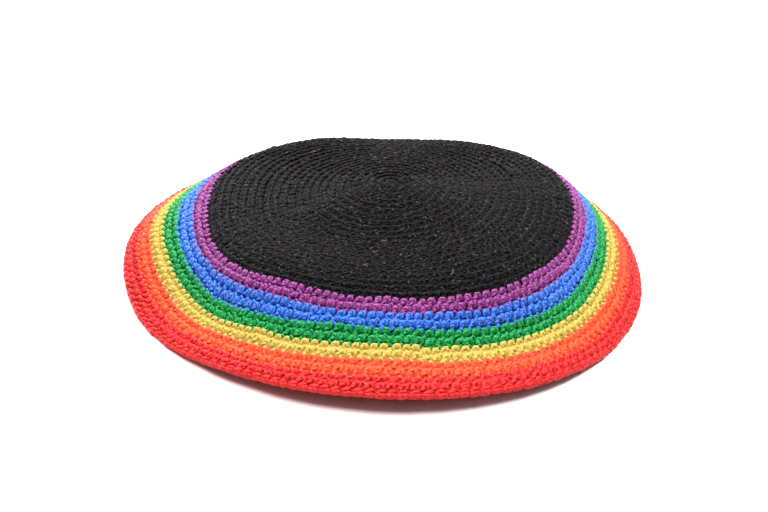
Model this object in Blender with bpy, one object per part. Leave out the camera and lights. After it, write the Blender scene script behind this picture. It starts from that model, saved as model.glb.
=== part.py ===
"""A crocheted skullcap lying on a table with its crown up: a dark crown and six coloured bands.

Metres, +Z up. The floor is Z = 0, and the origin is the middle of the cap's footprint on it.
Each yarn colour is one object. Every object is first turned as a flat ribbed ring, one rib for each round
of stitches, and its points are then laid over the soft dome that the LAY table describes.
"""

import math

import bmesh
import bpy

# Driving sizes of the cap as it lies, in metres. Radii are seen from above.
CROWN_RADIUS = 0.0660  # middle of the cap to the last round of the crown
WAIST_RADIUS = 0.0800  # middle of the cap to the middle of the bands
RIM_RADIUS = 0.0960  # middle of the cap to the rim
CAP_HEIGHT = 0.0332  # floor to the top of the crown
BROW_HEIGHT = 0.0282  # floor to the outside of the crown, halfway out
SHOULDER_HEIGHT = 0.0237  # floor to the outside of the crown's last round
WAIST_HEIGHT = 0.0137  # floor to the outside of the middle of the bands
CURL_HEIGHT = 0.0061  # the most that the rim lifts off the floor
WALL = 0.0030  # thickness of the crocheted cloth
RIB_DEPTH = 0.0007  # groove between two rounds of stitches
PIECE_GAP = 0.0003  # clearance between two colours
EDGE_ROUND = 0.0009  # rounding of the rim

# Rounds of stitches, counted outwards.
CROWN_ROUNDS = 23
BAND_ROUNDS = 2
EDGE_SHARE = 0.5  # of a round: the chain that closes the last one
START_ROUND = 1  # the ring that the crown is begun with
BROW_SHARE = 0.52  # of the crown's rounds, where BROW_HEIGHT is measured

# Detail of the faceted solids.
AZIMUTH_STEPS = 60
CROWN_LINING_STEPS = 6  # the crown's smooth inner side
BAND_LINING_STEPS = 1
NORMAL_STEP = 0.05  # in rounds and in degrees, for the surface's slope
MERGE = 1e-7

# How the soft cap lies. Azimuth 0 is +X and 270 the front; the other columns are shares of the sizes above.
# A curl below 0 leaves the rim on the floor and steepens the curl beside it.
LAY_COLUMNS = ("azimuth", "brow_z", "crown_r", "crown_z", "waist_r", "waist_z", "rim_r", "curl")
LAY = (
    (0, 1.04, 1.00, 1.08, 0.985, 1.05, 0.955, 0.00),
    (30, 1.04, 1.01, 1.06, 0.985, 1.00, 0.975, 0.00),
    (60, 1.03, 1.02, 0.95, 1.01, 1.00, 1.00, 0.13),
    (90, 1.02, 1.035, 0.82, 1.02, 0.96, 1.015, 0.18),
    (120, 1.01, 1.035, 0.98, 1.03, 0.98, 1.02, 0.00),
    (150, 0.99, 1.045, 1.03, 1.05, 1.04, 1.05, 0.36),
    (180, 0.96, 1.005, 1.04, 1.04, 1.22, 1.03, 0.68),
    (210, 0.94, 1.025, 0.92, 1.00, 0.65, 1.005, 0.00),
    (240, 0.93, 1.01, 1.00, 0.995, 0.88, 0.995, 0.68),
    (270, 0.96, 1.00, 0.98, 0.985, 1.00, 1.02, 1.00),
    (300, 1.01, 1.02, 0.94, 1.005, 0.72, 1.025, 0.56),
    (330, 1.03, 1.01, 0.89, 0.99, 0.69, 0.985, -0.20),
)

# Linear colours of the yarns, and the bands from the crown outwards.
YARN_ROUGHNESS = 0.8
CROWN_COLOUR = (0.010, 0.010, 0.011)
BANDS = (
    ("violet_band", (0.230, 0.035, 0.230)),
    ("blue_band", (0.030, 0.140, 0.800)),
    ("green_band", (0.006, 0.290, 0.070)),
    ("yellow_band", (0.820, 0.520, 0.070)),
    ("orange_band", (0.950, 0.140, 0.030)),
    ("red_band", (0.850, 0.030, 0.030)),
)

LAST_ROUND = CROWN_ROUNDS + BAND_ROUNDS * len(BANDS) + EDGE_SHARE
WAIST_ROUND = CROWN_ROUNDS + BAND_ROUNDS * len(BANDS) / 2
ROUND_KNOTS = (0, CROWN_ROUNDS * BROW_SHARE, CROWN_ROUNDS, WAIST_ROUND, LAST_ROUND)


def lay_share(column, azimuth):
    """A column of LAY at any azimuth in degrees, smooth all the way round."""
    place = LAY_COLUMNS.index(column)
    count = len(LAY)
    position = (azimuth % 360) / 360 * count
    first = int(position)
    t = position - first
    a, b, c, d = (LAY[(first + shift) % count][place] for shift in (-1, 0, 1, 2))
    slope_b, slope_c = (c - a) / 2, (d - b) / 2
    return b + t * (slope_b + t * (3 * (c - b) - 2 * slope_b - slope_c + t * (2 * (b - c) + slope_b + slope_c)))


def through_knots(values, round_number, start_slope):
    """A cubic curve through values at ROUND_KNOTS, read at round_number."""
    spans = [b - a for a, b in zip(ROUND_KNOTS, ROUND_KNOTS[1:])]
    rates = [(b - a) / span for a, b, span in zip(values, values[1:], spans)]
    slopes = [start_slope]
    for k in range(1, len(spans)):
        slopes.append((rates[k - 1] * spans[k] + rates[k] * spans[k - 1]) / (spans[k - 1] + spans[k]))
    slopes.append(1.5 * rates[-1] - 0.5 * slopes[-1])
    k = 0
    while k < len(spans) - 1 and round_number > ROUND_KNOTS[k + 1]:
        k += 1
    t = (round_number - ROUND_KNOTS[k]) / spans[k]
    return (
        (2 * t**3 - 3 * t**2 + 1) * values[k]
        + (t**3 - 2 * t**2 + t) * spans[k] * slopes[k]
        + (3 * t**2 - 2 * t**3) * values[k + 1]
        + (t**3 - t**2) * spans[k] * slopes[k + 1]
    )


def rim_height(azimuth):
    """Height of the rim's outer side. The underside of the rim lies on the floor, or curls up off it."""
    drop = WAIST_HEIGHT * lay_share("waist_z", azimuth)
    run = RIM_RADIUS * lay_share("rim_r", azimuth) - WAIST_RADIUS * lay_share("waist_r", azimuth)
    lying = (WALL - EDGE_ROUND) * run / math.hypot(run, drop)
    return lying + CURL_HEIGHT * max(0.0, lay_share("curl", azimuth))


def meridian(round_number, azimuth):
    """(radius, height) of the cap's outer side at a round and an azimuth."""
    crown_r = CROWN_RADIUS * lay_share("crown_r", azimuth)
    radii = (
        0.0,
        crown_r * BROW_SHARE,
        crown_r,
        WAIST_RADIUS * lay_share("waist_r", azimuth),
        RIM_RADIUS * lay_share("rim_r", azimuth),
    )
    heights = (
        CAP_HEIGHT,
        BROW_HEIGHT * lay_share("brow_z", azimuth),
        SHOULDER_HEIGHT * lay_share("crown_z", azimuth),
        WAIST_HEIGHT * lay_share("waist_z", azimuth),
        rim_height(azimuth),
    )
    return (
        through_knots(radii, round_number, crown_r / CROWN_ROUNDS),
        through_knots(heights, round_number, 0.0),
    )


def outer_point(round_number, azimuth):
    """A point of the cap's outer side, from the middle of the crown."""
    radius, height = meridian(round_number, azimuth)
    turn = math.radians(azimuth)
    return radius * math.cos(turn), radius * math.sin(turn), height


def difference(a, b):
    return [p - q for p, q in zip(a, b)]


def cloth_point(round_number, azimuth, depth):
    """A point inside the cloth, depth below its outer side and never under the floor."""
    x, y, z = outer_point(round_number, azimuth)
    if round_number < START_ROUND / 2:
        return x, y, z - depth
    out = difference(outer_point(round_number + NORMAL_STEP, azimuth), (x, y, z))
    along = difference(outer_point(round_number, azimuth + NORMAL_STEP), (x, y, z))
    normal = (
        out[1] * along[2] - out[2] * along[1],
        out[2] * along[0] - out[0] * along[2],
        out[0] * along[1] - out[1] * along[0],
    )
    size = math.sqrt(sum(n * n for n in normal))
    return (
        x - depth * normal[0] / size,
        y - depth * normal[1] / size,
        max(0.0, z - depth * normal[2] / size),
    )


def footprint_middle():
    """Middle of the rim's outline, which becomes the origin."""
    rim = [outer_point(LAST_ROUND, 360 * k / AZIMUTH_STEPS) for k in range(AZIMUTH_STEPS)]
    return [(min(p[i] for p in rim) + max(p[i] for p in rim)) / 2 for i in range(2)]


def ribbed_line(first_round, last_round):
    """(round, depth) down the outer side: a crest in each round and a groove between two rounds."""
    line = [(first_round, RIB_DEPTH)]
    low = first_round
    while low < last_round:
        high = min(math.floor(low) + 1, last_round)
        line += [((low + high) / 2, 0.0), (high, RIB_DEPTH)]
        low = high
    return line


def lining_line(first_round, last_round, steps):
    """(round, depth) along the smooth inner side, from the rim's end back to the crown's."""
    return [(last_round + (first_round - last_round) * k / steps, WALL) for k in range(steps + 1)]


def turned_ring(name, section, closed):
    """A flat ring with this (round, depth) section, still one unit of radius for each round."""
    mesh = bpy.data.meshes.new(name)
    ring = bmesh.new()
    corners = [ring.verts.new((round_number, 0.0, -depth)) for round_number, depth in section]
    sides = [ring.edges.new(pair) for pair in zip(corners, corners[1:])]
    if closed:
        sides.append(ring.edges.new((corners[-1], corners[0])))
    bmesh.ops.spin(
        ring,
        geom=corners + sides,
        cent=(0, 0, 0),
        axis=(0, 0, 1),
        angle=math.tau,
        steps=AZIMUTH_STEPS,
        use_merge=True,
    )
    bmesh.ops.remove_doubles(ring, verts=ring.verts, dist=MERGE)
    bmesh.ops.recalc_face_normals(ring, faces=ring.faces)
    ring.to_mesh(mesh)
    ring.free()
    return mesh


def lay_over_dome(mesh, middle):
    """Moves every point of a flat ring to its place in the lying cap."""
    for vertex in mesh.vertices:
        x, y, z = vertex.co
        azimuth = math.degrees(math.atan2(y, x))
        place = cloth_point(math.hypot(x, y), azimuth, -z)
        vertex.co = (place[0] - middle[0], place[1] - middle[1], place[2])
    mesh.update()


def yarn_material(name, colour):
    material = bpy.data.materials.new(name)
    material.use_nodes = True
    shader = material.node_tree.nodes["Principled BSDF"]
    shader.inputs["Base Color"].default_value = (*colour, 1.0)
    shader.inputs["Roughness"].default_value = YARN_ROUGHNESS
    shader.inputs["Metallic"].default_value = 0.0
    material.diffuse_color = (*colour, 1.0)
    return material


def add_piece(name, section, closed, colour, middle, collection):
    """One colour of the cap as a named object."""
    mesh = turned_ring(name, section, closed)
    lay_over_dome(mesh, middle)
    mesh.materials.append(yarn_material(name + "_yarn", colour))
    mesh.shade_smooth()
    mesh.set_sharp_from_angle(angle=math.radians(60))
    piece = bpy.data.objects.new(name, mesh)
    collection.objects.link(piece)


def gap_in_rounds():
    """Half of PIECE_GAP, counted in rounds of the bands."""
    return PIECE_GAP / 2 * (LAST_ROUND - CROWN_ROUNDS) / (RIM_RADIUS - CROWN_RADIUS)


def crown_section():
    """The crown reaches the axis, so its section is open there."""
    end = CROWN_ROUNDS - gap_in_rounds()
    outside = [(0.0, 0.0), *ribbed_line(START_ROUND, end)]
    return outside + lining_line(0.0, end, CROWN_LINING_STEPS)


def band_section(number):
    """A band between its neighbours. The last one ends in the rounded rim."""
    half_gap = gap_in_rounds()
    start = CROWN_ROUNDS + number * BAND_ROUNDS + half_gap
    if number < len(BANDS) - 1:
        end = CROWN_ROUNDS + (number + 1) * BAND_ROUNDS - half_gap
        return ribbed_line(start, end) + lining_line(start, end, BAND_LINING_STEPS)
    end = LAST_ROUND - EDGE_SHARE
    rim = [(LAST_ROUND, EDGE_ROUND), (LAST_ROUND, WALL - EDGE_ROUND)]
    return ribbed_line(start, end) + rim + lining_line(start, end, BAND_LINING_STEPS)


def clear_scene():
    for item in list(bpy.data.objects):
        bpy.data.objects.remove(item, do_unlink=True)


def build():
    clear_scene()
    cap = bpy.data.collections.new("crocheted_skullcap")
    bpy.context.scene.collection.children.link(cap)
    middle = footprint_middle()
    add_piece("crown", crown_section(), False, CROWN_COLOUR, middle, cap)
    for number, (name, colour) in enumerate(BANDS):
        add_piece(name, band_section(number), True, colour, middle, cap)


build()
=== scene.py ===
"""The crocheted skullcap in yarn: each stitch is looped over the form that the CAD solids have."""

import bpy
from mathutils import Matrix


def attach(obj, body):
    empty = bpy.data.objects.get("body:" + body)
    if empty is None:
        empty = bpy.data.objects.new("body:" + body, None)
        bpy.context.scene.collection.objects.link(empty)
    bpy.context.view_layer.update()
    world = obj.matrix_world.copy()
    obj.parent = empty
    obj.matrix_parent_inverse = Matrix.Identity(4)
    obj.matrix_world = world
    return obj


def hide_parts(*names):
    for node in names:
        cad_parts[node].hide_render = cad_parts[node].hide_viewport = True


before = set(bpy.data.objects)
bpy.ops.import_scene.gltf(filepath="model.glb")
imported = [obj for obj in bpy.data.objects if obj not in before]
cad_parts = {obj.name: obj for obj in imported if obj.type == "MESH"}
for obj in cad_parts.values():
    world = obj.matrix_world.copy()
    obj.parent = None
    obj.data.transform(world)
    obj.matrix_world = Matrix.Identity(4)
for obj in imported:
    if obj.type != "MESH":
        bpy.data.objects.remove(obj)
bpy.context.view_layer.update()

import math
from collections import namedtuple

import bpy
import numpy as np

MM = 0.001

# The form of the lying cap, in metres, as in the CAD model.
CROWN_RADIUS = 0.0660
WAIST_RADIUS = 0.0800
RIM_RADIUS = 0.0960
CAP_HEIGHT = 0.0332
BROW_HEIGHT = 0.0282
SHOULDER_HEIGHT = 0.0237
WAIST_HEIGHT = 0.0137
CURL_HEIGHT = 0.0061
WALL = 0.0030
EDGE_ROUND = 0.0009
CROWN_ROUNDS = 23
BAND_ROUNDS = 2
EDGE_SHARE = 0.5
BROW_SHARE = 0.52  # of the crown's rounds, where BROW_HEIGHT is measured
LAY_COLUMNS = ("azimuth", "brow_z", "crown_r", "crown_z", "waist_r", "waist_z", "rim_r", "curl")
LAY = (
    (0, 1.04, 1.00, 1.08, 0.985, 1.05, 0.955, 0.00),
    (30, 1.04, 1.01, 1.06, 0.985, 1.00, 0.975, 0.00),
    (60, 1.03, 1.02, 0.95, 1.01, 1.00, 1.00, 0.13),
    (90, 1.02, 1.035, 0.82, 1.02, 0.96, 1.015, 0.18),
    (120, 1.01, 1.035, 0.98, 1.03, 0.98, 1.02, 0.00),
    (150, 0.99, 1.045, 1.03, 1.05, 1.04, 1.05, 0.36),
    (180, 0.96, 1.005, 1.04, 1.04, 1.22, 1.03, 0.68),
    (210, 0.94, 1.025, 0.92, 1.00, 0.65, 1.005, 0.00),
    (240, 0.93, 1.01, 1.00, 0.995, 0.88, 0.995, 0.68),
    (270, 0.96, 1.00, 0.98, 0.985, 1.00, 1.02, 1.00),
    (300, 1.01, 1.02, 0.94, 1.005, 0.72, 1.025, 0.56),
    (330, 1.03, 1.01, 0.89, 0.99, 0.69, 0.985, -0.20),
)

# Yarn and stitches.
BAND_COUNT = 6
INCREASES = 6  # stitches more in each round of the crown
BAND_INCREASES = 2.6  # and in each round of the bands
YARN_RADIUS = 0.00079
LOOP_RADIUS = 0.00066  # of the thinner yarn in wraps, front loops and bars
PLY_PITCH = 0.0021
PLIES = 3
YARN_BACKSET = 0.18  # of a round: the loops reach up past the border that they hang from
FIRST_WIDTH = 0.86  # of a stitch: the loops of a colour's first round are narrower
RIM_LOOSENESS = 0.6  # the rim's chain is more even than the stitches
CROWN_SIDES, BAND_SIDES, RIM_SIDES, FRONT_SIDES, LOOP_SIDES = 6, 7, 7, 6, 5  # round a tube of yarn
TUBE_REST = 0.97  # of its radius: the least height of a tube's middle over the floor

# The closed layer of yarn behind the loops.
CORE_INSIDE = 0.00225  # metres to its inner side
CORE_DEPTH = 0.20  # mm to its outer side
CORE_GLOOM_DEPTH = 1.35  # mm more in a gloomy yarn
CORE_RIM_DEPTH = 0.5  # mm more at the rim, growing over the last round
CORE_START_DEPTH = 1.4  # mm more for each round, in the half round where a colour starts
CORE_START_ROUNDS = 0.5
CORE_OVER_FLOOR = 0.0004  # metres
CROWN_CORE_STEPS = 90
BAND_CORE_STEPS = 120
CORE_PAST_RIM = 0.3  # of a round

# How unlike each other the stitches are, as standard deviations.
WIDTH_SPREAD = 0.08
PLACE_SPREAD = 0.055
LEAN_SPREAD = 0.07
RISE_SPREAD = 0.042
DEPTH_SPREAD = 0.08
THICKNESS_SPREAD = 0.07

# Paths of the yarn in one stitch. The columns are the place across in stitch widths, the place along in
# rounds from the crown's side, the depth in mm and the thickness as a share of the yarn's.
CROWN_LOOP = (
    (-0.20, 0.94, 1.50, 0.95),
    (-0.35, 0.70, 1.12, 1.02),
    (-0.43, 0.46, 0.84, 1.06),
    (-0.31, 0.26, 0.54, 1.10),
    (0.00, 0.19, 0.38, 1.18),
    (0.32, 0.24, 0.48, 1.10),
    (0.42, 0.46, 0.80, 1.06),
    (0.33, 0.70, 1.10, 1.02),
    (0.20, 0.94, 1.50, 0.95),
)
CROWN_WRAP = (
    (-0.30, 0.84, 1.30, 0.95),
    (-0.10, 0.68, 0.78, 1.30),
    (0.10, 0.54, 0.72, 1.30),
    (0.28, 0.40, 1.20, 0.95),
)
BAND_LOOP = (
    (0.10, 0.94, 2.10, 0.80),
    (-0.02, 0.76, 1.60, 0.90),
    (-0.16, 0.60, 1.08, 1.00),
    (-0.27, 0.42, 0.66, 1.06),
    (-0.20, 0.20, 0.48, 1.10),
    (0.04, 0.05, 0.34, 1.16),
    (0.25, 0.07, 0.28, 1.20),
    (0.34, 0.29, 0.52, 1.12),
    (0.28, 0.56, 1.20, 1.00),
    (0.18, 0.90, 2.10, 0.80),
)
BAND_WRAP = (
    (-0.45, 0.72, 1.50, 0.80),
    (-0.30, 0.58, 0.60, 1.12),
    (-0.12, 0.44, 0.42, 1.22),
    (0.08, 0.32, 0.90, 0.95),
)
FRONT_LOOP = (
    (-0.26, 0.12, 1.60, 0.80),
    (-0.13, -0.05, 0.56, 1.10),
    (0.00, -0.12, 0.30, 1.30),
    (0.13, -0.05, 0.56, 1.10),
    (0.26, 0.12, 1.60, 0.80),
)
BACK_BAR = (
    (-0.46, 0.64, 2.00, 0.90),
    (-0.18, 0.52, 2.36, 1.00),
    (0.18, 0.52, 2.36, 1.00),
    (0.46, 0.64, 2.00, 0.90),
)
RIM_LEAF = (
    (-0.52, 0.20, 1.55, 0.65),
    (-0.28, 0.09, 0.90, 1.00),
    (0.02, -0.04, 0.62, 1.12),
    (0.28, -0.15, 0.80, 1.02),
    (0.48, -0.24, 1.50, 0.65),
)
RIM_EDGE = (
    (-0.60, 0.30, 1.45, 0.82),
    (-0.20, 0.27, 1.10, 1.02),
    (0.20, 0.26, 1.06, 1.06),
    (0.60, 0.28, 1.40, 0.84),
)
RIM_BACK = (
    (-0.66, 0.20, 1.80, 0.80),
    (-0.32, 0.17, 2.10, 1.00),
    (0.00, 0.13, 2.25, 1.05),
    (0.32, 0.05, 2.20, 1.00),
    (0.66, -0.03, 1.90, 0.80),
)

# Where rows leave their line. The columns are azimuth and spread in degrees, round and reach, the shift in
# rounds, and half of the jump in rounds from one side of the place to the other.
JUMP_WIDTH = 1.5  # degrees
PULLS = (
    (269, 2.2, 23.2, 0.9, -0.22, 0.00),
    (270, 9.0, 23.5, 2.5, 0.00, 0.10),
    (278, 2.0, 29.6, 1.1, 0.48, 0.00),
    (278, 9.0, 29.5, 2.5, 0.00, 0.12),
    (208, 3.0, 25.5, 1.2, -0.28, 0.00),
    (238, 2.4, 29.4, 1.1, -0.25, 0.10),
    (264, 8.0, 33.0, 2.2, -0.18, 0.00),
    (282, 2.0, 31.4, 1.0, 0.20, 0.00),
    (262, 26.0, 33.0, 1.2, 0.35, 0.00),
    (85, 52.0, 23.5, 2.8, 1.00, 0.00),
    (320, 12.0, 28.0, 1.6, 0.38, 0.00),
    (222, 9.0, 28.0, 1.6, 0.42, 0.00),
    (222, 14.0, 25.0, 1.0, -0.30, 0.00),
    (128, 22.0, 23.5, 2.5, 0.50, 0.00),
    (240, 10.0, 33.0, 1.2, 0.30, 0.00),
    (318, 12.0, 33.0, 1.2, 0.40, 0.00),
    (240, 8.0, 23.2, 1.0, -0.28, 0.00),
    (318, 8.0, 23.2, 1.0, -0.30, 0.00),
    (256, 7.0, 27.0, 1.0, -0.25, 0.00),
    (240, 9.0, 25.0, 1.0, -0.25, 0.00),
)

# Stray hairs that lie on the yarn: azimuth, round, direction in degrees, length in mm and colour.
HAIRS = (
    (266, 12.2, 20, 2.4, "grey"),
    (274, 15.3, 65, 1.5, "grey"),
    (260, 17.7, 40, 2.0, "grey"),
    (262, 14.6, -25, 1.6, "grey"),
    (290, 19.8, 52, 2.8, "grey"),
    (297, 9.0, 80, 1.4, "rust"),
    (300, 9.6, 60, 1.2, "rust"),
    (95, 8.2, 10, 1.4, "gold"),
    (87, 10.7, 10, 1.2, "gold"),
    (128, 16.0, -30, 1.4, "gold"),
    (137, 18.2, 15, 1.2, "gold"),
    (88, 20.4, 8, 2.2, "rust"),
    (40, 17.5, 80, 1.6, "rust"),
    (75, 17.0, 5, 1.8, "rust"),
    (262, 33.7, 15, 2.2, "grey"),
    (265, 34.5, -20, 2.4, "grey"),
    (246, 34.0, 40, 2.0, "grey"),
)
HAIR_RADIUS = 0.00008
HAIR_SIDES = 4
HAIR_DEPTH = -0.55  # in mm, so over the yarn
HAIR_BEND, HAIR_TAPER = 0.3, 0.6

# Lint: the linear colour of each kind, which the hairs have too, and its share of the short hairs strewn.
Lint = namedtuple("Lint", "colour share")
LINT = {
    "grey": Lint((0.15, 0.14, 0.145), 0.93),
    "rust": Lint((0.19, 0.045, 0.04), 0.05),
    "gold": Lint((0.22, 0.15, 0.06), 0.02),
}
LINT_COUNT = 420
LINT_RADIUS = 0.000045
LINT_DEPTHS = (-0.60, -0.30)  # in mm
LINT_HALVES = (0.2, 0.6)  # half of a hair's length, in mm
LINT_BEND, LINT_TAPER = 0.4, 0.5

# The maps. Margins and end caps are shares of a strand's cell in the atlas.
CORE_MAP_LENGTH = 400  # ply pitches that the closed layer's map has all the way round
CORE_MAP_MARGIN = 0.05
CELL_MARGIN = 0.08
CAP_PLACE, CAP_RADIUS = 0.04, 0.03  # of a tube's end caps, in the margins
CORNERS = ((0, 0), (1, 0), (1, 1), (0, 1))  # of a face, as steps along and round

# Each yarn's linear colour, how shiny it is, its gloom: how much shade is painted on it deep between the
# loops, between its plies and on its closed layer, which also makes it bumpier and its closed layer deeper,
# and its fuzz.
Yarn = namedtuple("Yarn", "colour shine gloom fuzz")
YARNS = {
    "black": Yarn((0.0021, 0.0016, 0.0022), 0.03, 0.26, 0.055),
    "violet": Yarn((0.156, 0.0145, 0.130), 0.28, 0.60, 0.02),
    "blue": Yarn((0.0140, 0.094, 0.445), 0.32, 0.55, 0.02),
    "green": Yarn((0.0012, 0.180, 0.036), 0.17, 0.50, 0.015),
    "yellow": Yarn((0.310, 0.220, 0.045), 0.03, 0.03, 0.01),
    "orange": Yarn((0.495, 0.046, 0.014), 0.12, 0.13, 0.01),
    "red": Yarn((0.375, 0.0100, 0.010), 0.11, 0.17, 0.008),
}

# Yarn material. Noise is in steps a metre, and a gloomy yarn has more painted shade and is bumpier.
FIBRE_NOISE = {"Scale": 5200.0, "Detail": 3.0, "Roughness": 0.6}
FLUFF_NOISE = {"Scale": 1300.0, "Detail": 2.0, "Roughness": 0.5}
TONE_NOISE = {"Scale": 90.0, "Detail": 2.0}
SHADE_WEIGHT, TONE_WEIGHT = 0.5, 0.6  # how far a stitch's own shade and the slow tone lighten the yarn
LIGHT_TINT, LIGHT_FUZZ = 1.08, 14  # its lightest tint as a multiple of its colour, and what fuzz adds to that
PLY_PAINTED_SHADE = 0.75  # how much of its gloom the yarn has as painted shade between its plies
HOLLOW_SHADE_DEPTHS = {"From_Min": 0.75, "From_Max": 1.6}  # in mm, where the painted shade deep between the loops begins and is full
HOLLOW_SHADE_TINT = 0.3  # of its colour, where the painted shade is full
FIBRE_BUMP = 0.5
PLY_BUMP, PLY_GLOOM_BUMP = 0.35, 1.7
FLUFF_BUMP, FLUFF_GLOOM_BUMP = 0.5, 2.0
BUMP_DEPTH = 0.00024
YARN_ROUGHNESS = 0.38
SHEEN_ROUGHNESS = 0.3
CORE_PAINTED_SHADE, CORE_FUZZ = 1.1, 0.6  # as multiples of the yarn's; the first darkens the closed layer's colour as painted shade
CORE_ROUGHNESS = 0.9
LINT_ROUGHNESS = 0.6
PLAIN_SHINE = 0.2

# Floor, light and camera.
FLOOR_HALF = 2.5
FLOOR_COLOUR = (0.86, 0.86, 0.86, 1.0)
# Red light painted on the floor below the cap, for the light that comes through the red and orange yarn.
FLOOR_PAINTED_LIGHT = (1.00, 0.44, 0.42, 1.0)
PAINTED_LIGHT_FADE = {"From_Min": 0.086, "From_Max": 0.101}  # metres from the middle of the cap, over which the painted red light fades out
FLOOR_ROUGHNESS = 0.7
WORLD_STRENGTH = 0.38
LAMPS = {  # place, diameter and watts
    "overhead": ((0.02, 0.16, 0.82), 1.25, 42.0),
    "background": ((-0.5, 0.90, 0.60), 0.80, 11.0),
}
CAMERA_RISE = 28.65  # degrees above the floor
CAMERA_DISTANCE = 0.500
CAMERA_TARGET = (-0.0026, 0.0043, 0.0)
SENSOR_WIDTH = 36.0
LENS_SHARE = 1328 / 768  # the focal length as a share of the sensor's width

# Places counted in rounds from the middle of the crown.
INNERMOST = 0.02  # the nearest that slopes and the closed layer come to the middle
LAST_ROUND = CROWN_ROUNDS + BAND_ROUNDS * BAND_COUNT + EDGE_SHARE
WAIST_ROUND = CROWN_ROUNDS + BAND_ROUNDS * BAND_COUNT / 2
ROUND_KNOTS = (0, CROWN_ROUNDS * BROW_SHARE, CROWN_ROUNDS, WAIST_ROUND, LAST_ROUND)
ROUND_MM = RIM_RADIUS / LAST_ROUND / MM  # the length of a round
CROWN_SPLIT = 16  # the last round in the first of the crown's two outer pieces
OPEN_ROUND = CROWN_ROUNDS + 3 * BAND_ROUNDS + 1  # yellow's first, whose stitches show a small slit

random = np.random.default_rng(11)
ROUND_STARTS = random.uniform(0, 1, 40)  # where each round's first stitch stands, in stitch widths

# Slow waves round the cap: how many, two phases and the size of each.
MEANDER_WAVES = (2, 3, 5, 7, 11, 16, 23, 31)
MEANDER = [(waves, *random.uniform(0, math.tau, 2), 0.9 / waves**0.5) for waves in MEANDER_WAVES]
MEANDER_SIZE = 0.045  # in rounds, across the rows
DRIFT_SIZE = 0.30  # in stitch widths, along a row
DRIFT_RATE = 3.1  # how much faster the drift changes from round to round


def lay_share(column, azimuth):
    """A column of LAY at azimuths in degrees, smooth all the way round."""
    values = np.array([row[LAY_COLUMNS.index(column)] for row in LAY], float)
    position = (azimuth % 360) / 360 * len(values)
    first = np.floor(position).astype(int)
    t = position - first
    a, b, c, d = (values[(first + shift) % len(values)] for shift in (-1, 0, 1, 2))
    slope_b, slope_c = (c - a) / 2, (d - b) / 2
    squared = 3 * (c - b) - 2 * slope_b - slope_c
    cubed = 2 * (b - c) + slope_b + slope_c
    return b + t * (slope_b + t * (squared + t * cubed))


def through_knots(values, rounds, start_slope):
    """Cubic curves through values at ROUND_KNOTS, read at rounds."""
    knots = np.array(ROUND_KNOTS, float)
    values = np.array(values)
    spans = np.diff(knots)
    rates = np.diff(values, axis=0) / spans[:, None]
    slopes = [start_slope]
    for k in range(1, len(spans)):
        slopes.append((rates[k - 1] * spans[k] + rates[k] * spans[k - 1]) / (spans[k - 1] + spans[k]))
    slopes.append(1.5 * rates[-1] - 0.5 * slopes[-1])
    slopes = np.array(slopes)
    k = np.clip(np.searchsorted(knots, rounds) - 1, 0, len(spans) - 1)
    span = spans[k]
    t = (rounds - knots[k]) / span
    here = np.arange(len(rounds))
    return (
        (2 * t**3 - 3 * t**2 + 1) * values[k, here]
        + (t**3 - 2 * t**2 + t) * span * slopes[k, here]
        + (3 * t**2 - 2 * t**3) * values[k + 1, here]
        + (t**3 - t**2) * span * slopes[k + 1, here]
    )


def form(rounds, azimuth):
    """Points of the outer side, from the middle of the crown."""
    crown_r = CROWN_RADIUS * lay_share("crown_r", azimuth)
    waist_r = WAIST_RADIUS * lay_share("waist_r", azimuth)
    rim_r = RIM_RADIUS * lay_share("rim_r", azimuth)
    waist_z = WAIST_HEIGHT * lay_share("waist_z", azimuth)
    # The height at which the rim lies flat, and how far it curls up from there.
    lying = (WALL - EDGE_ROUND) * (rim_r - waist_r) / np.hypot(rim_r - waist_r, waist_z)
    rim_z = lying + CURL_HEIGHT * np.maximum(0.0, lay_share("curl", azimuth))
    middle = np.zeros_like(rim_r)
    radii = (middle, crown_r * BROW_SHARE, crown_r, waist_r, rim_r)
    heights = (
        np.full_like(rim_r, CAP_HEIGHT),
        BROW_HEIGHT * lay_share("brow_z", azimuth),
        SHOULDER_HEIGHT * lay_share("crown_z", azimuth),
        waist_z,
        rim_z,
    )
    radius = through_knots(radii, rounds, crown_r / CROWN_ROUNDS)
    height = through_knots(heights, rounds, middle)
    turn = np.radians(azimuth)
    return np.stack([radius * np.cos(turn), radius * np.sin(turn), height], -1)


def unit(vectors):
    return vectors / np.maximum(np.linalg.norm(vectors, axis=-1, keepdims=True), 1e-12)


def footprint_middle():
    rim = form(np.full(60, LAST_ROUND), np.arange(60) * 6.0)
    middle = (rim.min(0) + rim.max(0)) / 2
    return np.array([middle[0], middle[1], 0.0])


MIDDLE = footprint_middle()


def on_cloth(rounds, azimuth, depth):
    """(points, outward normals) in the frame, of the arrays' common shape."""
    rounds, azimuth, depth = np.broadcast_arrays(rounds, azimuth, depth)
    shape = rounds.shape
    rounds, azimuth, depth = (np.ravel(part) for part in (rounds, azimuth, depth))
    # A place before the middle of the crown lies on its other side.
    past_middle = rounds < 0
    rounds, azimuth = np.abs(rounds), azimuth + 180.0 * past_middle
    step = 0.05
    low = np.maximum(rounds - step, INNERMOST)
    out = form(low + 2 * step, azimuth) - form(low, azimuth)
    wide = np.maximum(rounds, 0.5)
    along = form(wide, azimuth + 0.5) - form(wide, azimuth - 0.5)
    normal = unit(np.cross(out, along))
    points = form(rounds, azimuth) - MIDDLE - depth[:, None] * normal
    return points.reshape(*shape, 3), normal.reshape(*shape, 3)


def stitches_in(round_number):
    if round_number <= CROWN_ROUNDS:
        return INCREASES * round_number
    return round(INCREASES * CROWN_ROUNDS + BAND_INCREASES * (round_number - CROWN_ROUNDS))


def scatter(size, loosen, count):
    """One random number for each of count stitches."""
    return loosen * size * random.standard_normal((count, 1))


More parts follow.
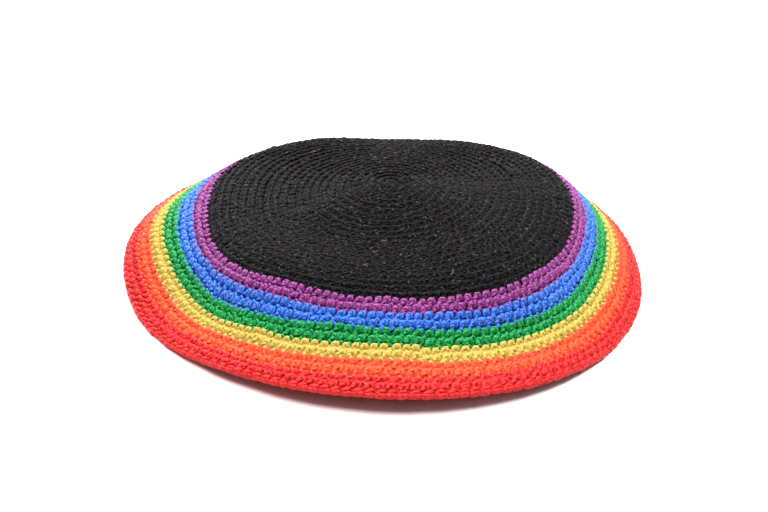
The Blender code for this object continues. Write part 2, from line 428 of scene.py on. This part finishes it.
def strands(path, start_round, count, first_share, loosen=1.0, width=1.0):
    """Paths for one strand in each of count stitches: rounds, azimuths, depths and thicknesses."""
    across, along, depth, thickness = np.array(path).T[:, None, :]
    across = across * width * (1 + scatter(WIDTH_SPREAD, loosen, count))
    across = across + scatter(PLACE_SPREAD, loosen, count)
    lean = scatter(LEAN_SPREAD, loosen, count)
    rise = scatter(RISE_SPREAD, loosen, count)
    depth = depth + scatter(DEPTH_SPREAD, loosen, count)
    thickness = thickness * (1 + scatter(THICKNESS_SPREAD, loosen, count))
    share = (np.arange(count)[:, None] + first_share + across + lean * (along - 0.5)) / count
    share = share + DRIFT_SIZE * meander(share, start_round * DRIFT_RATE) / count
    rounds = start_round + along + rise + MEANDER_SIZE * meander(share, start_round)
    rounds = rounds + pull(rounds, 360 * share) + YARN_BACKSET * min(1.0, start_round / CROWN_ROUNDS)
    return rounds, 360 * share, depth * MM, thickness


def pull(rounds, azimuth):
    """How far rows are pushed out of line, in rounds, at places such as the joins of two yarns."""
    total = 0 * rounds
    for place, spread, middle, reach, shift, step in PULLS:
        turn = (azimuth - place + 180) % 360 - 180
        near = np.exp(-((turn / spread) ** 2) - ((rounds - middle) / reach) ** 2)
        total = total + near * (shift + step * np.tanh(turn / JUMP_WIDTH))
    return total


def meander(share, round_number):
    """A slow random wave round the cap, which changes little from one round to the next."""
    return sum(
        size * np.sin(math.tau * waves * share + phase + round_number * (0.5 + turn / 6))
        for waves, phase, turn, size in MEANDER
    )


def hair_paths(middle, azimuth, turn, half_mm, bend, t):
    """Rounds and azimuths along slightly bent hairs that lie on the cloth."""
    across = half_mm * (np.cos(turn) * t - bend * np.sin(turn) * t**2)
    along = half_mm * (np.sin(turn) * t + bend * np.cos(turn) * t**2)
    return middle - along / ROUND_MM, azimuth + np.degrees(across / (middle * ROUND_MM))


def tube_corners(rings, sides):
    """The ring and the spoke of each face corner of a tube: its quads, then a cap at each end."""
    ring, spoke = np.meshgrid(np.arange(rings - 1), np.arange(sides), indexing="ij")
    ring_of = np.stack([ring + a for a, _ in CORNERS], -1).reshape(-1)
    spoke_of = np.stack([spoke + b for _, b in CORNERS], -1).reshape(-1)
    fan = np.arange(sides)
    ring_of = np.concatenate([ring_of, np.zeros(sides, int), np.full(sides, rings - 1)])
    return ring_of, np.concatenate([spoke_of, fan, fan[::-1]])


def tube_atlas(count, rings, sides, low, high):
    """A cell for each of count tubes between the heights low and high of the atlas."""
    ring_of, spoke_of = tube_corners(rings, sides)
    columns = max(1, round(math.sqrt(count / max(high - low, 1e-9) * sides / rings)))
    lines = math.ceil(count / columns)
    x = CELL_MARGIN + (1 - 2 * CELL_MARGIN) * ring_of / (rings - 1)
    y = CELL_MARGIN + (1 - 2 * CELL_MARGIN) * spoke_of / sides
    turn = math.tau * spoke_of / sides
    cap_x = np.where(ring_of == 0, CAP_PLACE, 1 - CAP_PLACE) + CAP_RADIUS * np.cos(turn)
    is_cap = np.arange(len(ring_of)) >= 4 * (rings - 1) * sides
    x = np.where(is_cap, cap_x, x)
    y = np.where(is_cap, 0.5 + CAP_RADIUS * np.sin(turn), y)
    cell = np.arange(count)[:, None]
    u = (cell % columns + x) / columns
    v = low + (high - low) * (cell // columns + y) / lines
    return np.stack([u, v], -1).reshape(-1, 2)


Tube = namedtuple("Tube", "points ups radii depth sides material")


class Weaver:
    """Gathers strands of yarn and other surfaces into one mesh with its maps."""

    def __init__(self):
        self.tubes = []
        self.grids = []
        names = ("verts", "loops", "starts", "slots", "shades", "depths", "yarn_map", "atlas")
        self.parts = {name: [] for name in names}
        self.vert_count = self.loop_count = 0

    def strand(self, rounds, azimuth, depth, thickness, radius, sides, material=0):
        points, ups = on_cloth(rounds, azimuth, depth)
        radii = radius * thickness
        points[..., 2] = np.maximum(points[..., 2], radii * TUBE_REST)
        self.tubes.append(Tube(points, ups, radii, depth, sides, material))

    def hairs(self, first, last):
        """The stray hairs that lie on the rounds from first to last."""
        t = np.linspace(-1, 1, 6)[None, :]
        taper = 1 - HAIR_TAPER * t**2
        for azimuth, middle, direction, length, tint in HAIRS:
            if first <= middle < last:
                path = hair_paths(middle, azimuth, math.radians(direction), length / 2, HAIR_BEND, t)
                material = 2 + list(LINT).index(tint)
                self.strand(*path, HAIR_DEPTH * MM, taper, HAIR_RADIUS, HAIR_SIDES, material)

    def lint(self, first, last):
        """Short hairs strewn over the rounds from first to last."""
        strew = np.random.default_rng(last)
        t = np.linspace(-1, 1, 4)[None, :]
        taper = 1 - LINT_TAPER * t**2
        for material, kind in enumerate(LINT.values(), 2):
            shape = (round(LINT_COUNT * kind.share), 1)
            middle = np.sqrt(strew.uniform(first**2, last**2, shape))
            azimuth = strew.uniform(0, 360, shape)
            turn = strew.uniform(0, math.pi, shape)
            half = strew.uniform(*LINT_HALVES, shape)
            depth = strew.uniform(*LINT_DEPTHS, shape) * MM
            path = hair_paths(middle, azimuth, turn, half, LINT_BEND, t)
            self.strand(*path, depth, taper, LINT_RADIUS, HAIR_SIDES, material)

    def core(self, first, last, steps, gloom):
        """The closed layer of yarn behind the loops, so that no light shows through."""
        rounds = np.linspace(first, last, max(2, int((last - first) * 2) + 1))
        at_start = np.maximum(0, first + CORE_START_ROUNDS - rounds)
        at_rim = np.maximum(0, rounds - LAST_ROUND + 1)
        depths = CORE_DEPTH + CORE_GLOOM_DEPTH * gloom
        depths = depths + CORE_RIM_DEPTH * at_rim + CORE_START_DEPTH * at_start
        there_and_back = np.concatenate([rounds, rounds[::-1]])[:, None]
        depths = np.concatenate([depths * MM, np.full_like(depths, CORE_INSIDE)])[:, None]
        points, _ = on_cloth(there_and_back, np.arange(steps) * 360 / steps, depths)
        points[..., 2] = np.maximum(points[..., 2], CORE_OVER_FLOOR)
        self.grids.append(points)

    def gather(self, **arrays):
        for name, array in arrays.items():
            self.parts[name].append(array)
        self.vert_count += len(arrays["verts"])
        self.loop_count += len(arrays["loops"])

    def add_tube(self, tube, low, high):
        """The skin of each of a tube's paths. Its map has the length in ply pitches and the way round."""
        count, rings = tube.points.shape[:2]
        sides = tube.sides
        tangent = unit(np.gradient(tube.points, axis=1))
        side = unit(np.cross(tangent, tube.ups))
        lift = np.cross(side, tangent)
        turn = np.arange(sides) * math.tau / sides + math.pi / sides
        circle = np.cos(turn)[:, None] * side[:, :, None] + np.sin(turn)[:, None] * lift[:, :, None]
        verts = tube.points[:, :, None] + tube.radii[..., None, None] * circle

        ring_of, spoke_of = tube_corners(rings, sides)
        vert_of = ring_of * sides + spoke_of % sides
        quads = (rings - 1) * sides
        first_loops = np.concatenate([np.arange(quads + 1) * 4, [quads * 4 + sides]])
        each = np.arange(count)[:, None]

        tone = random.uniform(0, 1, count)
        length = np.linalg.norm(np.diff(tube.points, axis=1), axis=-1).cumsum(1) / PLY_PITCH
        length = np.concatenate([np.zeros((count, 1)), length], 1) + random.uniform(0, 1, (count, 1))
        around = np.broadcast_to(spoke_of / sides, (count, len(spoke_of)))
        self.gather(
            starts=(self.loop_count + each * len(vert_of) + first_loops).reshape(-1),
            loops=(self.vert_count + each * rings * sides + vert_of).reshape(-1),
            verts=verts.reshape(-1, 3),
            slots=np.full(count * len(first_loops), tube.material),
            shades=np.repeat(tone, rings * sides),
            depths=np.repeat(np.broadcast_to(tube.depth, (count, rings)).ravel(), sides),
            yarn_map=np.stack([length[:, ring_of], around], -1).reshape(-1, 2),
            atlas=tube_atlas(count, rings, sides, low, high),
        )

    def add_grid(self, points, low, high):
        """A closed surface whose rows and columns both join up."""
        rows, steps = points.shape[:2]
        row, step = np.meshgrid(np.arange(rows), np.arange(steps), indexing="ij")
        row_of = np.stack([row + a for a, _ in CORNERS], -1).reshape(-1)
        step_of = np.stack([step + b for _, b in CORNERS], -1).reshape(-1)
        faces = rows * steps
        along, around = step_of / steps, row_of / rows
        height = CORE_MAP_MARGIN + (1 - 2 * CORE_MAP_MARGIN) * around
        self.gather(
            starts=self.loop_count + np.arange(faces) * 4,
            loops=self.vert_count + (row_of % rows) * steps + step_of % steps,
            verts=points.reshape(-1, 3),
            slots=np.ones(faces, int),
            shades=np.full(faces, 0.5),
            depths=np.full(faces, CORE_INSIDE),
            yarn_map=np.stack([along * CORE_MAP_LENGTH, around], -1),
            atlas=np.stack([along, low + (high - low) * height], -1),
        )

    def make_mesh(self, name, materials):
        parts = {key: np.concatenate(arrays) for key, arrays in self.parts.items()}
        mesh = bpy.data.meshes.new(name)
        mesh.vertices.add(len(parts["verts"]))
        mesh.vertices.foreach_set("co", parts["verts"].astype(np.float32).ravel())
        mesh.loops.add(len(parts["loops"]))
        mesh.loops.foreach_set("vertex_index", parts["loops"].astype(np.int32))
        mesh.polygons.add(len(parts["starts"]))
        mesh.polygons.foreach_set("loop_start", parts["starts"].astype(np.int32))
        for material in materials:
            mesh.materials.append(material)
        mesh.polygons.foreach_set("material_index", parts["slots"].astype(np.int32))
        mesh.update(calc_edges=True)
        for map_name, values in (("yarn", parts["yarn_map"]), ("OFBake", parts["atlas"])):
            layer = mesh.uv_layers.new(name=map_name)
            layer.uv.foreach_set("vector", values.astype(np.float32).ravel())
        for attribute_name, values in (("shade", parts["shades"]), ("sunk", parts["depths"] / MM)):
            attribute = mesh.attributes.new(attribute_name, "FLOAT", "POINT")
            attribute.data.foreach_set("value", values.astype(np.float32))
        mesh.shade_smooth()
        return mesh

    def finish(self, name, materials, nodes):
        """Makes the piece, which stands for the given nodes of the CAD model."""
        weights = [t.points.shape[0] * (t.points.shape[1] + 2) * (t.sides + 2) for t in self.tubes]
        weights += [grid.shape[0] * grid.shape[1] for grid in self.grids]
        low = 0.0
        for part, weight in zip(self.tubes + self.grids, weights):
            high = low + weight / sum(weights)
            add = self.add_tube if isinstance(part, Tube) else self.add_grid
            add(part, low, high)
            low = high
        piece = bpy.data.objects.new(name, self.make_mesh(name, materials))
        bpy.context.scene.collection.objects.link(piece)
        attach(piece, "root")
        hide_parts(*nodes)


class Nodes:
    """Short calls for a material's nodes."""

    def __init__(self, name):
        self.material = bpy.data.materials.new(name)
        self.material.use_nodes = True
        self.tree = self.material.node_tree
        self.shader = self.tree.nodes["Principled BSDF"]

    def add(self, kind, **inputs):
        node = self.tree.nodes.new(kind)
        for key, value in inputs.items():
            self.put(node.inputs[key.replace("_", " ")], value)
        return node

    def put(self, socket, value):
        if isinstance(value, bpy.types.NodeSocket):
            self.tree.links.new(value, socket)
        else:
            socket.default_value = value

    def math(self, operation, *values):
        node = self.tree.nodes.new("ShaderNodeMath")
        node.operation = operation
        for socket, value in zip(node.inputs, values):
            self.put(socket, value)
        return node.outputs[0]

    def mix(self, factor, a, b, blend="MIX"):
        node = self.tree.nodes.new("ShaderNodeMix")
        node.data_type = "RGBA"
        node.blend_type = blend
        self.put(node.inputs[0], factor)
        self.put(node.inputs[6], a)
        self.put(node.inputs[7], b)
        return node.outputs[2]

    def attribute(self, name):
        node = self.add("ShaderNodeAttribute")
        node.attribute_name = name
        return node.outputs["Fac"]

    def surface(self, roughness, shine, fuzz=0.0):
        self.shader.inputs["Roughness"].default_value = roughness
        self.shader.inputs["Specular IOR Level"].default_value = shine
        self.shader.inputs["Sheen Weight"].default_value = fuzz
        self.shader.inputs["Sheen Roughness"].default_value = SHEEN_ROUGHNESS


def yarn_material(name, yarn):
    """Twisted plies, fine fibres, a tone that varies from stitch to stitch, and shade painted between the
    plies and deep between the loops.
    """
    m = Nodes(name)
    uv = m.add("ShaderNodeUVMap")
    uv.uv_map = "yarn"
    parts = m.add("ShaderNodeSeparateXYZ", Vector=uv.outputs[0])
    length, around = parts.outputs[0], parts.outputs[1]
    phase = m.math("MULTIPLY_ADD", around, float(PLIES), length)
    ply = m.math("ABSOLUTE", m.math("SINE", m.math("MULTIPLY", phase, math.pi)))
    place = m.add("ShaderNodeTexCoord").outputs["Object"]
    fibres = m.add("ShaderNodeTexNoise", Vector=place, **FIBRE_NOISE).outputs[0]
    fluff = m.add("ShaderNodeTexNoise", Vector=place, **FLUFF_NOISE).outputs[0]
    tone = m.add("ShaderNodeTexNoise", Vector=place, **TONE_NOISE).outputs[0]

    def times(factor):
        return tuple(min(1.0, c * factor) for c in yarn.colour) + (1.0,)

    shade = m.attribute("shade")
    amount = m.math("MULTIPLY_ADD", shade, SHADE_WEIGHT, m.math("MULTIPLY", tone, TONE_WEIGHT))
    tint = m.mix(amount, times(1), times(LIGHT_TINT + LIGHT_FUZZ * yarn.fuzz))
    # Painted shade in the grooves between the plies.
    tint = m.mix(ply, times(1 - PLY_PAINTED_SHADE * yarn.gloom), tint)
    # Painted shade deep between the loops, growing with the depth that the attribute sunk holds.
    hollow_shade = m.add("ShaderNodeMapRange", Value=m.attribute("sunk"), To_Max=yarn.gloom, **HOLLOW_SHADE_DEPTHS)
    tint = m.mix(hollow_shade.outputs[0], tint, times(HOLLOW_SHADE_TINT))
    speck = m.math("MULTIPLY_ADD", m.math("ADD", fibres, fluff), 0.5, 0.5)
    grey = m.add("ShaderNodeCombineXYZ", X=speck, Y=speck, Z=speck).outputs[0]
    m.put(m.shader.inputs["Base Color"], m.mix(1.0, tint, grey, "MULTIPLY"))
    m.surface(YARN_ROUGHNESS, yarn.shine, yarn.fuzz)

    ply_height = m.math("MULTIPLY", ply, PLY_BUMP + PLY_GLOOM_BUMP * yarn.gloom)
    height = m.math("MULTIPLY_ADD", fibres, FIBRE_BUMP, ply_height)
    height = m.math("MULTIPLY_ADD", fluff, FLUFF_BUMP + FLUFF_GLOOM_BUMP * yarn.gloom, height)
    bump = m.add("ShaderNodeBump", Strength=1.0, Distance=BUMP_DEPTH, Height=height)
    m.put(m.shader.inputs["Normal"], bump.outputs[0])
    m.material.diffuse_color = times(1)
    return m.material


def plain_material(name, colour, roughness, fuzz=0.0):
    m = Nodes(name)
    m.shader.inputs["Base Color"].default_value = (*colour, 1.0)
    m.surface(roughness, PLAIN_SHINE, fuzz)
    return m.material


def floor_material():
    """Plain and pale, with red light painted below the cap, for the light that comes through the red and
    orange yarn.
    """
    m = Nodes("floor")
    place = m.add("ShaderNodeTexCoord").outputs["Object"]
    distance = m.add("ShaderNodeVectorMath", Vector=place)
    distance.operation = "LENGTH"
    # Painted red light below the cap, fading out away from it.
    near = m.add("ShaderNodeMapRange", Value=distance.outputs[1], **PAINTED_LIGHT_FADE)
    m.put(m.shader.inputs["Base Color"], m.mix(near.outputs[0], FLOOR_PAINTED_LIGHT, FLOOR_COLOUR))
    m.surface(FLOOR_ROUGHNESS, PLAIN_SHINE)
    return m.material


def weave_round(weaver, k, sides=BAND_SIDES, front=True, bars=True):
    """Round k: its hairpins, the front loops that show between the next round's, and the bars inside."""
    count = stitches_in(k)
    start = ROUND_STARTS[k]
    if front:
        loop, wrap = (CROWN_LOOP, CROWN_WRAP) if k <= CROWN_ROUNDS else (BAND_LOOP, BAND_WRAP)
        first_of_colour = k > CROWN_ROUNDS and (k - CROWN_ROUNDS) % BAND_ROUNDS == 1
        width = FIRST_WIDTH if first_of_colour else 1.0
        weaver.strand(*strands(loop, k - 1, count, start, width=width), YARN_RADIUS, sides)
        if k != OPEN_ROUND:
            weaver.strand(*strands(wrap, k - 1, count, start), LOOP_RADIUS, LOOP_SIDES)
        if CROWN_ROUNDS <= k < LAST_ROUND - EDGE_SHARE:
            loops = strands(FRONT_LOOP, k, stitches_in(k + 1), ROUND_STARTS[k + 1] + 0.5)
            weaver.strand(*loops, LOOP_RADIUS, FRONT_SIDES)
    if bars:
        weaver.strand(*strands(BACK_BAR, k - 1, count, start), LOOP_RADIUS, LOOP_SIDES)


def weave_rim(weaver, last):
    """The chain that closes the last round."""
    count = stitches_in(last)
    start = ROUND_STARTS[last]
    for path in (RIM_LEAF, RIM_EDGE, RIM_BACK):
        weaver.strand(*strands(path, last, count, start, RIM_LOOSENESS), YARN_RADIUS, RIM_SIDES)


def build_cap():
    lint = [plain_material(tint + "_lint", kind.colour, LINT_ROUGHNESS) for tint, kind in LINT.items()]
    materials = {}
    for colour_name, yarn in YARNS.items():
        yarn_look = yarn_material(colour_name + "_yarn", yarn)
        # The closed layer is darker than its yarn by painted shade, for the shade that the loops cast on it.
        shaded_core_colour = [(1.0 - CORE_PAINTED_SHADE * yarn.gloom) * c for c in yarn.colour]
        core_fuzz = CORE_FUZZ * yarn.fuzz
        core_look = plain_material(colour_name + "_shaded_core", shaded_core_colour, CORE_ROUGHNESS, core_fuzz)
        materials[colour_name] = (yarn_look, core_look, *lint)
    for name, first, last in (
        ("crown_middle_stitches", 0, CROWN_SPLIT),
        ("crown_outer_stitches", CROWN_SPLIT, CROWN_ROUNDS),
    ):
        weaver = Weaver()
        for k in range(first + 1, last + 1):
            weave_round(weaver, k, CROWN_SIDES, bars=False)
        weaver.hairs(first, last)
        weaver.lint(first, last)
        weaver.core(max(INNERMOST, first), last, CROWN_CORE_STEPS, YARNS["black"].gloom)
        weaver.finish(name, materials["black"], ["crown"])
    weaver = Weaver()
    for k in range(1, CROWN_ROUNDS + 1):
        weave_round(weaver, k, front=False)
    weaver.finish("crown_inside_stitches", materials["black"], ["crown"])
    band_names = list(YARNS)[1:]
    for number, colour_name in enumerate(band_names):
        first = CROWN_ROUNDS + number * BAND_ROUNDS
        last = first + BAND_ROUNDS
        weaver = Weaver()
        for k in range(first + 1, last + 1):
            weave_round(weaver, k)
        core_end = last
        if colour_name == band_names[-1]:
            weave_rim(weaver, last)
            core_end = last + CORE_PAST_RIM
        weaver.hairs(first, last)
        weaver.core(first, core_end, BAND_CORE_STEPS, YARNS[colour_name].gloom)
        weaver.finish(colour_name + "_stitches", materials[colour_name], [colour_name + "_band"])


def add_floor():
    mesh = bpy.data.meshes.new("floor")
    s = FLOOR_HALF
    mesh.from_pydata([(-s, -s, 0), (s, -s, 0), (s, s, 0), (-s, s, 0)], [], [(0, 1, 2, 3)])
    floor = bpy.data.objects.new("floor", mesh)
    bpy.context.scene.collection.objects.link(floor)
    mesh.materials.append(floor_material())


def add_lamp(name, place, size, watts):
    """A round lamp that points at the origin."""
    light = bpy.data.lights.new(name, "AREA")
    light.shape = "DISK"
    light.size = size
    light.energy = watts
    lamp = bpy.data.objects.new(name, light)
    bpy.context.scene.collection.objects.link(lamp)
    lamp.location = place
    x, y, z = place
    lamp.rotation_euler = (math.acos(z / math.hypot(x, y, z)), 0.0, math.atan2(-y, -x) - math.pi / 2)


def add_light():
    scene = bpy.context.scene
    scene.world = bpy.data.worlds.new("studio")
    scene.world.use_nodes = True
    background = scene.world.node_tree.nodes["Background"]
    background.inputs[0].default_value = (1.0, 1.0, 1.0, 1.0)
    background.inputs[1].default_value = WORLD_STRENGTH
    for name, (place, size, watts) in LAMPS.items():
        add_lamp(name, place, size, watts)
    scene.view_settings.view_transform = "Standard"
    scene.view_settings.look = "None"


def add_camera():
    """The photograph's view."""
    rise = math.radians(CAMERA_RISE)
    target = np.array(CAMERA_TARGET) - MIDDLE
    data = bpy.data.cameras.new("camera")
    data.sensor_width = SENSOR_WIDTH
    data.lens = LENS_SHARE * SENSOR_WIDTH
    data.clip_start = 0.01
    camera = bpy.data.objects.new("camera", data)
    bpy.context.scene.collection.objects.link(camera)
    camera.location = target + CAMERA_DISTANCE * np.array([0.0, -math.cos(rise), math.sin(rise)])
    camera.rotation_euler = (math.pi / 2 - rise, 0.0, 0.0)
    bpy.context.scene.camera = camera


build_cap()
add_floor()
add_light()
add_camera()
